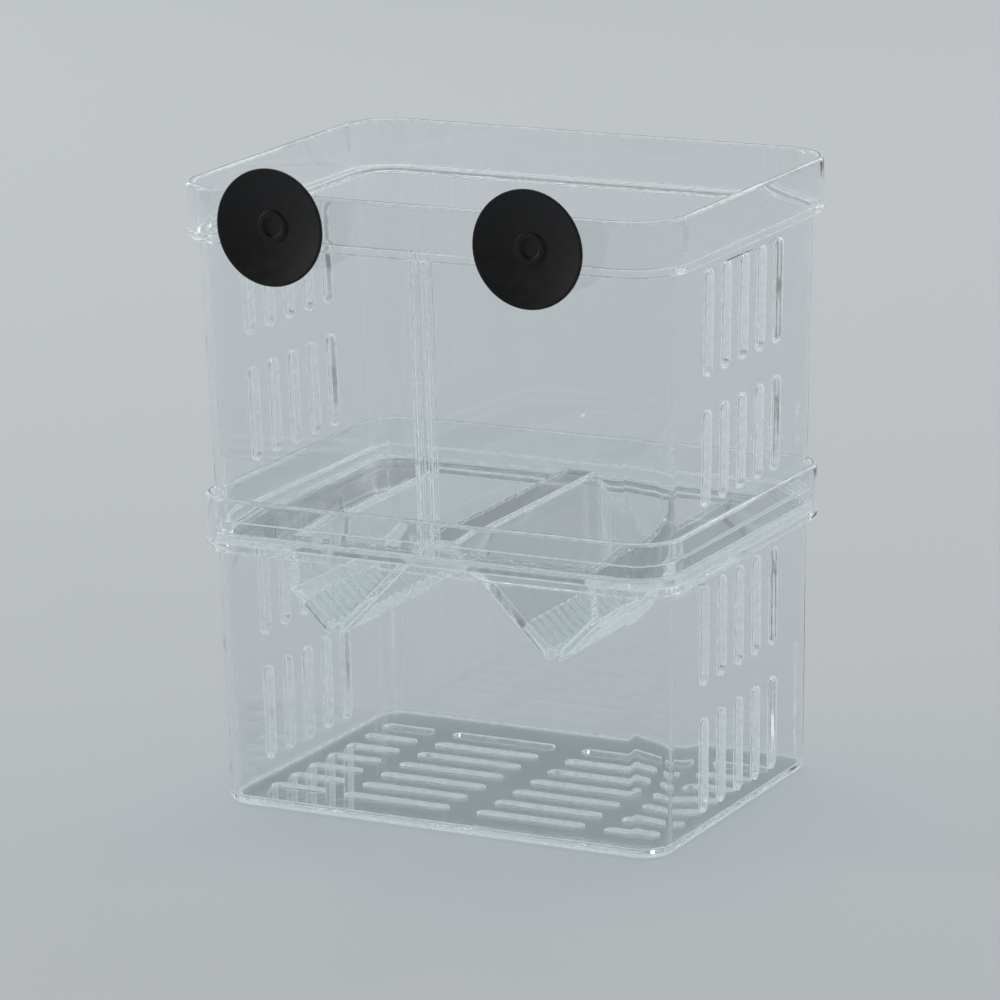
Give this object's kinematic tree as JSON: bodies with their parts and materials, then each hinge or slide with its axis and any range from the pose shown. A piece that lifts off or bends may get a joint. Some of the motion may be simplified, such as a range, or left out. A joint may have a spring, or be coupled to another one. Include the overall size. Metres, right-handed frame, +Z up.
{
  "type": "fish breeding box",
  "caption": "Two-tier clear box hung on an aquarium's glass by rubber suction cups, with a drop-through trough separator, slotted side walls and a slotted floor.",
  "frame": {"origin": "centre of the lower tier's underside, which the box stands on when it is out of the tank", "axes": "+Z up through the mouth, +X to the right along the long side, -Y out of the front wall, where the suction cups are"},
  "size_m": [0.1396, 0.1132, 0.1719],
  "materials": {
    "clear_plastic": "clear, moulded, gloss",
    "black_rubber": "soft, semi-matt"
  },
  "bodies": {
    "lower_tier": {"lower_tier": "clear_plastic"},
    "fry_separator": {"fry_separator": "clear_plastic"},
    "upper_tier": {"upper_tier": "clear_plastic"},
    "left_suction_cup": {"left_suction_cup": "black_rubber"},
    "right_suction_cup": {"right_suction_cup": "black_rubber"}
  },
  "joints": [
    {"name": "separator_lift", "type": "slide", "parent": "lower_tier", "child": "fry_separator", "axis": [0, 0, 1], "range_m": [0, 0.04]},
    {"name": "upper_tier_lift", "type": "slide", "parent": "fry_separator", "child": "upper_tier", "axis": [0, 0, 1], "range_m": [0, 0.03]},
    {"name": "left_cup_turn", "type": "hinge", "parent": "upper_tier", "child": "left_suction_cup", "pos_m": [-0.036, -0.05307, 0.1569], "axis": [0, -1, 0], "continuous": true},
    {"name": "right_cup_turn", "type": "hinge", "parent": "upper_tier", "child": "right_suction_cup", "pos_m": [0.036, -0.05307, 0.1569], "axis": [0, -1, 0], "continuous": true}
  ]
}
